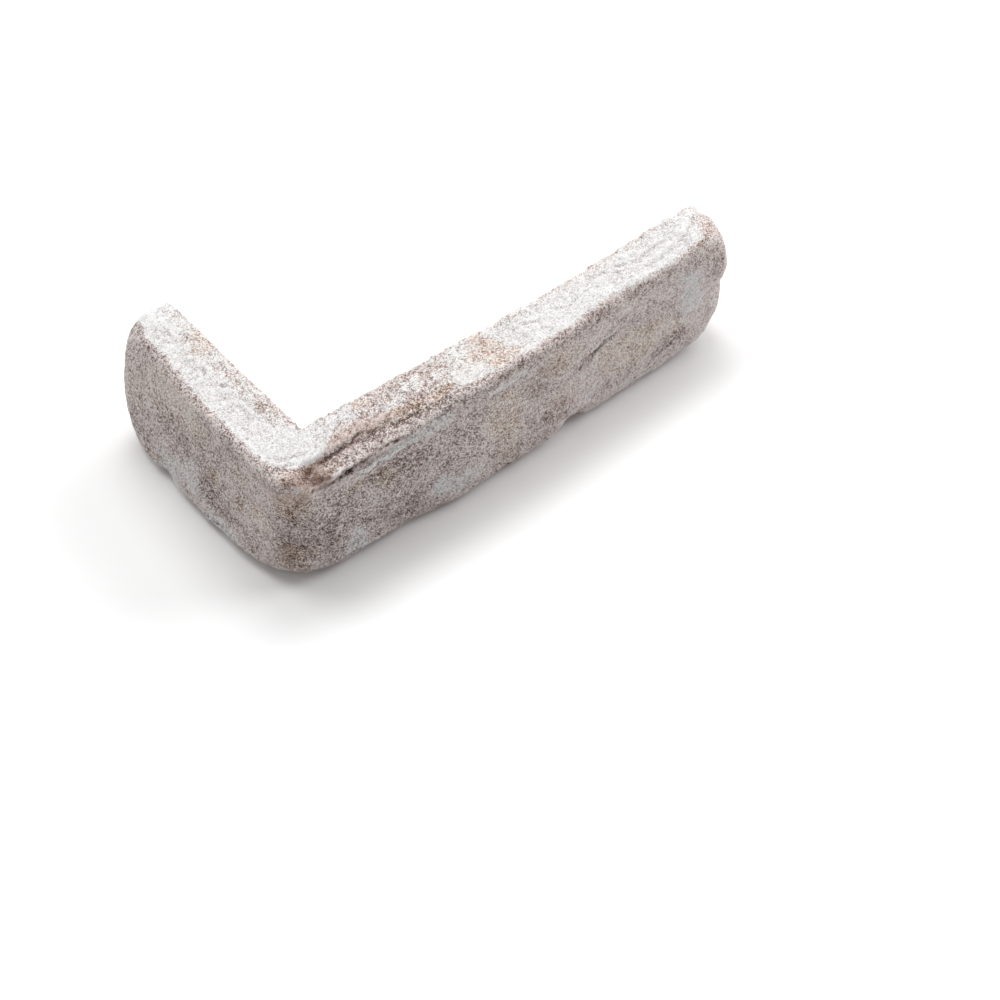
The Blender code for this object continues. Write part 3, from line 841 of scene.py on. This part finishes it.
# How much lime covers the bed and the faces
BED_COVER = 0.92
BARE_THIN = 0.30
RIM_THIN = 0.22
RIM_OCHRE = 0.2
RIM_DEPTHS = (2.8, 0.4)
COVER_PATCHY = Layer(0.16, 5.0, 2, 521)
COVER_LIMIT = 1.1
HAZE_COVER = 1.4
HAZE_COVER_LIMIT = 0.56
OCHRE = 0.10
OCHRE_PATCHY = Layer(0.16, 16.0, 2, 511)

# How strong the contrast of the sand is
FACE_GRIT = 1.14
STRETCHER_GRIT = (-0.27, 30.0, 110.0)
HEADER_GRIT = (0.14, -10.0, 10.0)
BARE_BED_GRIT = 0.88
LIMED_BED_GRIT = 0.62
LIMED_COVER = (0.4, 1.0)
SMOOTH_LIMIT = 0.75
SAWN_SMOOTH = 0.7

# Where the sawn backs begin, by depth and by distance below the bed
SAWN_DEPTHS = (0.35, 0.05)
SAWN_BELOW_BED = (0.4, 1.6)

# An attribute holds 0 to 1, so the grit and the cover are stored at this share of their size
GRIT_STORED = 0.6
COVER_STORED = 0.8


def add_field(mesh, name, values):
    attribute = mesh.attributes.new(name, "FLOAT", "POINT")
    attribute.data.foreach_set("value", np.clip(values, 0.0, 1.0).astype(np.float32))


def along_leg(place, strength, start, end):
    return strength * rise(place, start, end)


def paint_fields(mesh, lips, grooves):
    """Writes for each point how pale its clay and lime are, its cover of lime, its ochre and its grit."""
    points = read_points(mesh)
    normals = read_normals(mesh)
    edges = read_edges(mesh)
    weights = face_weights(normals)
    x, y, z = points.T
    depth = depth_behind_backs(points)
    sawn = rise(depth, *SAWN_DEPTHS) * rise(bed_height(points) - z, *SAWN_BELOW_BED)
    rim = rise(depth, *RIM_DEPTHS)
    bed = on_bed(points, PAINT_SOFTNESS)
    face = 1.0 - bed
    bare = beyond_lobe(points) * bed
    patchy = np.clip(ARRIS_STRENGTH + ripple(points, ARRIS_PATCHY), *ARRIS_LIMITS)
    arris = np.clip(on_bed(points, ARRIS_SOFTNESS) - bed, 0.0, 1.0) * patchy

    thin = patch_field(points, weights, THIN_PATCHES) + BARE_THIN * bare
    haze = patch_field(points, weights, HAZE_PATCHES)
    # dark holds darker clay and painted shade
    dark = DARK_AND_SHADE_STRENGTH * patch_field(points, weights, DARK_AND_SHADE_PATCHES)
    smooth = patch_field(points, weights, SMOOTH_PATCHES)
    lip = np.clip(lips, 0.0, LIP_LIMIT)

    on_top = np.clip(BED_COVER - thin - RIM_THIN * rim + ripple(points, COVER_PATCHY), 0.0, COVER_LIMIT) * bed
    cover = on_top + face * np.clip(HAZE_COVER * haze, 0.0, HAZE_COVER_LIMIT)
    cover = np.maximum(cover, LIP_COVER * lip * face)

    face_grit = FACE_GRIT + along_leg(x, *STRETCHER_GRIT) + along_leg(y, *HEADER_GRIT)
    bed_grit = blend(BARE_BED_GRIT, LIMED_BED_GRIT, rise(on_top, *LIMED_COVER))
    grit = blend(face_grit, bed_grit, bed) * (1.0 - np.clip(smooth, 0.0, SMOOTH_LIMIT))

    mottle = ripple(points, MOTTLE)
    # painted shade in the hollows and painted light on the high places
    relief_shade_and_light = (np.clip(FINE_SHADE_AND_LIGHT * stands_out(points, normals, edges, FINE_ROUNDS), *FINE_SHADE_LIMITS)
             + np.clip(BROAD_SHADE_AND_LIGHT * stands_out(points, normals, edges, BROAD_ROUNDS), *BROAD_SHADE_LIMITS))
    clay = blend(FACE_TONE, BARE_BED_TONE, bed) + MOTTLE_CLAY * mottle + HAZE_PALE * haze - dark + relief_shade_and_light
    clay += along_leg(x, *STRETCHER_PALE) + along_leg(y, *HEADER_PALE)
    # painted light on the lips, painted shade in the grooves and on the bevel of the arris
    clay += LIP_LIME_AND_LIGHT * lip - GROOVE_SHADE * grooves - ARRIS_CLAY_AND_SHADE * arris
    # painted contact shade along the foot, over its darker clay
    clay -= FOOT_SHADE_AND_CLAY * rise(z, *FOOT_SHADE_HEIGHTS) * rise(depth, *FOOT_SHADE_DEPTHS)
    lime = blend(FACE_LIME_TONE, LIME_TONE, bed) + MOTTLE_LIME * mottle - DARK_AND_SHADE_LIME * dark
    # painted light and shade on the lime too: from the relief, on the lips and in the grooves
    lime += np.minimum(relief_shade_and_light, LIME_RELIEF_LIGHT_LIMIT) + LIP_LIGHT_ON_LIME * lip - GROOVE_SHADE_ON_LIME * grooves
    ochre = OCHRE + ripple(points, OCHRE_PATCHY) + patch_field(points, weights, OCHRE_PATCHES)
    ochre += RIM_OCHRE * rim * bed + ARRIS_OCHRE * arris

    add_field(mesh, "clay", blend(clay, SAWN_TONE + MOTTLE_SAWN * mottle, sawn))
    add_field(mesh, "lime", lime)
    add_field(mesh, "cover", COVER_STORED * cover * (1.0 - sawn))
    add_field(mesh, "ochre", ochre * (1.0 - sawn))
    add_field(mesh, "grit", GRIT_STORED * grit * (1.0 - SAWN_SMOOTH * sawn))


# Material

class Nodes:
    """Short calls for building a node tree."""

    def __init__(self, material):
        material.use_nodes = True
        self.tree = material.node_tree
        self.tree.nodes.clear()

    def set(self, socket, value):
        if isinstance(value, bpy.types.NodeSocket):
            self.tree.links.new(value, socket)
        else:
            socket.default_value = value

    def add(self, kind, **inputs):
        node = self.tree.nodes.new(kind)
        for key, value in inputs.items():
            self.set(node.inputs[key.replace("_", " ")], value)
        return node

    def math(self, operation, a, b):
        node = self.tree.nodes.new("ShaderNodeMath")
        node.operation = operation
        self.set(node.inputs[0], a)
        self.set(node.inputs[1], b)
        return node.outputs[0]

    def total(self, a, b):
        return self.math("ADD", a, b)

    def product(self, a, b):
        return self.math("MULTIPLY", a, b)

    def centred(self, value, contrast):
        """The value about 0 in place of its middle, 0.5, at this contrast."""
        return self.product(self.math("SUBTRACT", value, 0.5), contrast)

    def mix(self, share, low, high):
        node = self.tree.nodes.new("ShaderNodeMix")
        node.data_type = "RGBA"
        colour = [socket for socket in node.inputs if socket.type == "RGBA"]
        self.set(node.inputs[0], share)
        self.set(colour[0], low)
        self.set(colour[1], high)
        return next(socket for socket in node.outputs if socket.type == "RGBA")

    def step(self, value, start, end):
        node = self.tree.nodes.new("ShaderNodeMapRange")
        node.interpolation_type = "SMOOTHSTEP"
        self.set(node.inputs["Value"], value)
        self.set(node.inputs["From Min"], start)
        self.set(node.inputs["From Max"], end)
        return node.outputs["Result"]

    def ramp(self, value, stops):
        node = self.tree.nodes.new("ShaderNodeValToRGB")
        elements = node.color_ramp.elements
        for place, colour in stops[2:]:
            elements.new(place)
        for element, (place, colour) in zip(sorted(elements, key=lambda e: e.position), sorted(stops)):
            element.position = place
            element.color = (*colour, 1.0)
        self.set(node.inputs["Fac"], value)
        return node.outputs["Color"]

    def field(self, name, stored=1.0):
        """The mesh's attribute of this name, brought back from the share at which it is stored."""
        node = self.tree.nodes.new("ShaderNodeAttribute")
        node.attribute_name = name
        return self.math("DIVIDE", node.outputs["Fac"], stored) if stored != 1.0 else node.outputs["Fac"]

    def places(self):
        return self.tree.nodes.new("ShaderNodeTexCoord").outputs["Object"]

    def noise(self, wavelength, detail, roughness):
        node = self.add("ShaderNodeTexNoise", Scale=1.0 / (wavelength * MM), Detail=detail,
                        Roughness=roughness, Vector=self.places())
        return node.outputs["Fac"]

    def cells(self, size):
        """Grains of about this size: two random values for each, and the distance to its middle."""
        node = self.add("ShaderNodeTexVoronoi", Scale=1.0 / (size * MM), Vector=self.places())
        split = self.add("ShaderNodeSeparateColor", Color=node.outputs["Color"])
        return split.outputs[0], split.outputs[1], node.outputs["Distance"]

    def surface(self, shader):
        output = self.tree.nodes.new("ShaderNodeOutputMaterial")
        self.tree.links.new(shader.outputs["BSDF"], output.inputs["Surface"])


# Colours from the darkest clay to the whitest lime: bare mauve clay, ochre clay and limed skin
MAUVE_STOPS = (
    (0.0, (0.085, 0.057, 0.050)),
    (0.22, (0.215, 0.155, 0.146)),
    (0.45, (0.438, 0.350, 0.338)),
    (0.65, (0.606, 0.510, 0.494)),
    (0.84, (0.776, 0.690, 0.668)),
    (1.0, (0.880, 0.820, 0.800)),
)
OCHRE_STOPS = (
    (0.0, (0.110, 0.070, 0.050)),
    (0.22, (0.285, 0.194, 0.150)),
    (0.45, (0.536, 0.404, 0.326)),
    (0.65, (0.715, 0.573, 0.478)),
    (0.84, (0.862, 0.752, 0.662)),
    (1.0, (0.900, 0.862, 0.822)),
)
LIME_STOPS = (
    (0.0, (0.100, 0.088, 0.082)),
    (0.22, (0.255, 0.235, 0.228)),
    (0.45, (0.466, 0.430, 0.421)),
    (0.65, (0.634, 0.602, 0.591)),
    (0.84, (0.798, 0.794, 0.790)),
    (1.0, (0.900, 0.900, 0.898)),
)

# Noises of the material: wavelength in millimetres, detail and roughness
FINE = (0.4, 2.0, 0.6)
CLOUD = (1.5, 2.0, 0.5)
BLOTCH = (4.5, 3.0, 0.6)
TINT = (1.3, 1.0, 0.5)
FLAKES = (3.0, 4.0, 0.55)
# Sizes of the grains of sand, in millimetres
SAND = 0.42
COARSE_SAND = 1.0

# How much each of them lightens and darkens
SAND_CONTRAST = 0.95
FINE_CONTRAST = 1.5
CLOUD_CONTRAST = 0.30
BLOTCH_CONTRAST = 0.65
LIMED_CONTRAST = 0.92
DARK_GRAIN = 0.28
WHITE_GRAIN = 0.12
# Which coarse grains are dark, white or rusty, by their random values, and where a grain ends
DARK_CHANCE = (0.86, 0.92)
WHITE_CHANCE = (0.14, 0.08)
RUSTY_CHANCE = (0.62, 0.72)
GRAIN_EDGE = (0.46, 0.24)
# Where the lime covers the clay, and how ragged its edge is
COVER_STEP = (0.28, 0.74)
FLAKE_RAGGED = 1.4
GRAIN_RAGGED = 0.30
# How warm the clay is: a base, what the tint and the rusty grains add, and each grain's own hue
WARM = 0.35
WARM_TINT = 0.6
WARM_TINT_STEP = (0.32, 0.62)
WARM_RUSTY = 0.5
HUE_CONTRAST = 0.5
LIMED_WARM = 0.3
# Bump of the finest sand and of the lime's edge
BUMP_DEPTH = 0.2
BUMP_STRENGTH = 0.75
BUMP_FINE = 0.6
BUMP_SAND = 0.4
BUMP_LIME = 0.6
BRICK_ROUGHNESS = 0.93
BRICK_SPECULAR = 0.25


def brick_material():
    material = bpy.data.materials.new("limewashed_brick")
    n = Nodes(material)
    fine = n.noise(*FINE)
    grain, hue, _ = n.cells(SAND)
    coarse, coarse_hue, to_middle = n.cells(COARSE_SAND)
    inside = n.step(to_middle, *GRAIN_EDGE)
    grit = n.field("grit", GRIT_STORED)

    sandy = n.total(n.centred(grain, SAND_CONTRAST), n.centred(fine, FINE_CONTRAST))
    stained = n.total(n.centred(n.noise(*CLOUD), CLOUD_CONTRAST),
                      n.centred(n.noise(*BLOTCH), BLOTCH_CONTRAST))
    dark_grain = n.product(inside, n.step(coarse, *DARK_CHANCE))
    white_grain = n.product(inside, n.step(coarse, *WHITE_CHANCE))
    speckle = n.math("SUBTRACT", n.total(sandy, stained), n.product(dark_grain, DARK_GRAIN))
    speckle = n.product(n.total(speckle, n.product(white_grain, WHITE_GRAIN)), grit)

    # the lime ends grain by grain, so its edge is ragged at the size of the sand
    ragged = n.total(n.centred(n.noise(*FLAKES), FLAKE_RAGGED), n.centred(grain, GRAIN_RAGGED))
    covered = n.step(n.total(n.field("cover", COVER_STORED), ragged), *COVER_STEP)

    rusty = n.product(n.product(inside, n.step(coarse_hue, *RUSTY_CHANCE)), WARM_RUSTY)
    warm = n.total(n.product(n.step(n.noise(*TINT), *WARM_TINT_STEP), WARM_TINT), rusty)
    warm = n.product(n.field("ochre"), n.total(warm, WARM))
    warm = n.total(warm, n.product(n.centred(hue, HUE_CONTRAST), grit))
    warm = n.math("MAXIMUM", n.math("MINIMUM", warm, 1.0), 0.0)

    clay_level = n.total(n.field("clay"), speckle)
    lime_level = n.total(n.field("lime"), n.product(speckle, LIMED_CONTRAST))
    clay = n.mix(warm, n.ramp(clay_level, MAUVE_STOPS), n.ramp(clay_level, OCHRE_STOPS))
    limed_warm = n.product(warm, LIMED_WARM)
    limed = n.mix(limed_warm, n.ramp(lime_level, LIME_STOPS), n.ramp(lime_level, OCHRE_STOPS))
    colour = n.mix(covered, clay, limed)

    height = n.product(n.total(n.product(fine, BUMP_FINE), n.product(grain, BUMP_SAND)), grit)
    height = n.total(height, n.product(covered, BUMP_LIME))
    bump = n.add("ShaderNodeBump", Strength=BUMP_STRENGTH, Distance=BUMP_DEPTH * MM, Height=height)
    n.surface(n.add("ShaderNodeBsdfPrincipled", Base_Color=colour, Roughness=BRICK_ROUGHNESS,
                    Specular_IOR_Level=BRICK_SPECULAR, Normal=bump.outputs["Normal"]))
    return material


def dense_copy(node, voxel):
    """A closed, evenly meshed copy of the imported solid."""
    mesh = node.data.copy()
    bm = bmesh.new()
    bm.from_mesh(mesh)
    bmesh.ops.remove_doubles(bm, verts=bm.verts, dist=WELD * MM)
    bm.to_mesh(mesh)
    bm.free()
    skin = bpy.data.objects.new("slip_skin", mesh)
    bpy.context.scene.collection.objects.link(skin)
    remesh = skin.modifiers.new("remesh", "REMESH")
    remesh.mode = "VOXEL"
    remesh.voxel_size = voxel * MM
    bpy.context.view_layer.update()
    evaluated = skin.evaluated_get(bpy.context.evaluated_depsgraph_get())
    dense = bpy.data.meshes.new_from_object(evaluated)
    skin.modifiers.clear()
    skin.data = dense
    bpy.data.meshes.remove(mesh)
    return skin


def build_skin():
    skin = dense_copy(frame["nodes"][NODE], VOXEL)
    lips, grooves = shape_skin(skin.data)
    paint_fields(skin.data, lips, grooves)
    skin.data.shade_smooth()
    lighten_flats(skin.data)
    skin.data.materials.clear()
    skin.data.materials.append(brick_material())
    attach(skin, "root")
    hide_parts(NODE)
    return skin


# Stage, in metres; the floor and the world have one look in the background and one for lighting

FLOOR_REACH = 3.0
FLOOR_SEEN = (1.11, 1.11, 1.11, 1.0)
FLOOR_LIT = (0.80, 0.80, 0.80, 1.0)
WORLD_COLOUR = (1.0, 1.0, 1.0, 1.0)
WORLD_STRENGTH = 0.23
WORLD_SEEN = 1.0

# Disk lamps, all of them aimed at the slip: size, power in watts and place
Lamp = namedtuple("Lamp", "name size power place")

LAMPS = (
    Lamp("key", 0.85, 8.7, (0.50, 0.71, 1.57)),
    Lamp("top", 1.3, 5.1, (0.30, 0.39, 1.73)),
    Lamp("left_rear", 0.8, 8.4, (-0.35, 0.83, 1.56)),
    Lamp("right_rear", 0.9, 6.0, (1.30, 0.40, 1.18)),
    Lamp("right", 0.9, 9.6, (1.39, -0.50, 1.03)),
    Lamp("left", 0.9, 1.5, (-1.39, 0.50, 1.03)),
)


def background_rays(tree):
    """1 for a ray that shows the background: from the camera, off a glossy surface or through glass."""
    path = tree.nodes.new("ShaderNodeLightPath")
    seen = path.outputs["Is Camera Ray"]
    for name in ("Is Glossy Ray", "Is Transmission Ray"):
        either = tree.nodes.new("ShaderNodeMath")
        either.operation = "MAXIMUM"
        tree.links.new(seen, either.inputs[0])
        tree.links.new(path.outputs[name], either.inputs[1])
        seen = either.outputs[0]
    return seen


def floor_material():
    material = bpy.data.materials.new("studio_floor")
    n = Nodes(material)
    colour = n.mix(background_rays(n.tree), FLOOR_LIT, FLOOR_SEEN)
    n.surface(n.add("ShaderNodeBsdfDiffuse", Color=colour))
    return material


def build_floor():
    bpy.ops.mesh.primitive_plane_add(size=2.0 * FLOOR_REACH, location=(0.0, 0.0, 0.0))
    floor = bpy.context.object
    floor.name = "studio_floor"
    floor.data.materials.append(floor_material())


def build_world():
    world = bpy.data.worlds.new("studio")
    world.use_nodes = True
    tree = world.node_tree
    background = tree.nodes["Background"]
    strength = tree.nodes.new("ShaderNodeMapRange")
    strength.inputs["To Min"].default_value = WORLD_STRENGTH
    strength.inputs["To Max"].default_value = WORLD_SEEN
    tree.links.new(background_rays(tree), strength.inputs["Value"])
    tree.links.new(strength.outputs["Result"], background.inputs["Strength"])
    background.inputs["Color"].default_value = WORLD_COLOUR
    bpy.context.scene.world = world


def build_lights():
    for lamp in LAMPS:
        light = bpy.data.lights.new(lamp.name, "AREA")
        light.shape = "DISK"
        light.size = lamp.size
        light.energy = lamp.power
        placed = bpy.data.objects.new(lamp.name, light)
        placed.location = lamp.place
        placed.rotation_euler = (-Vector(lamp.place)).to_track_quat("-Z", "Y").to_euler()
        bpy.context.scene.collection.objects.link(placed)


def build_camera():
    level = math.cos(CAMERA_TILT)
    forward = Vector((math.sin(CAMERA_TURN) * level, math.cos(CAMERA_TURN) * level, -math.sin(CAMERA_TILT)))
    aim = Vector(AIM) + Vector(ORIGIN)
    data = bpy.data.cameras.new("camera")
    data.sensor_width = SENSOR_MM
    data.lens = SENSOR_MM * FOCAL_PIXELS / FRAME_PIXELS
    data.clip_start = CAMERA_NEAR * MM
    data.dof.use_dof = False
    camera = bpy.data.objects.new("camera", data)
    camera.location = (aim - forward * CAMERA_DISTANCE) * MM
    camera.rotation_euler = forward.to_track_quat("-Z", "Y").to_euler()
    bpy.context.scene.collection.objects.link(camera)
    bpy.context.scene.camera = camera


bpy.context.scene.view_settings.view_transform = "Standard"
build_camera()
build_floor()
build_world()
build_lights()
skin = build_skin()
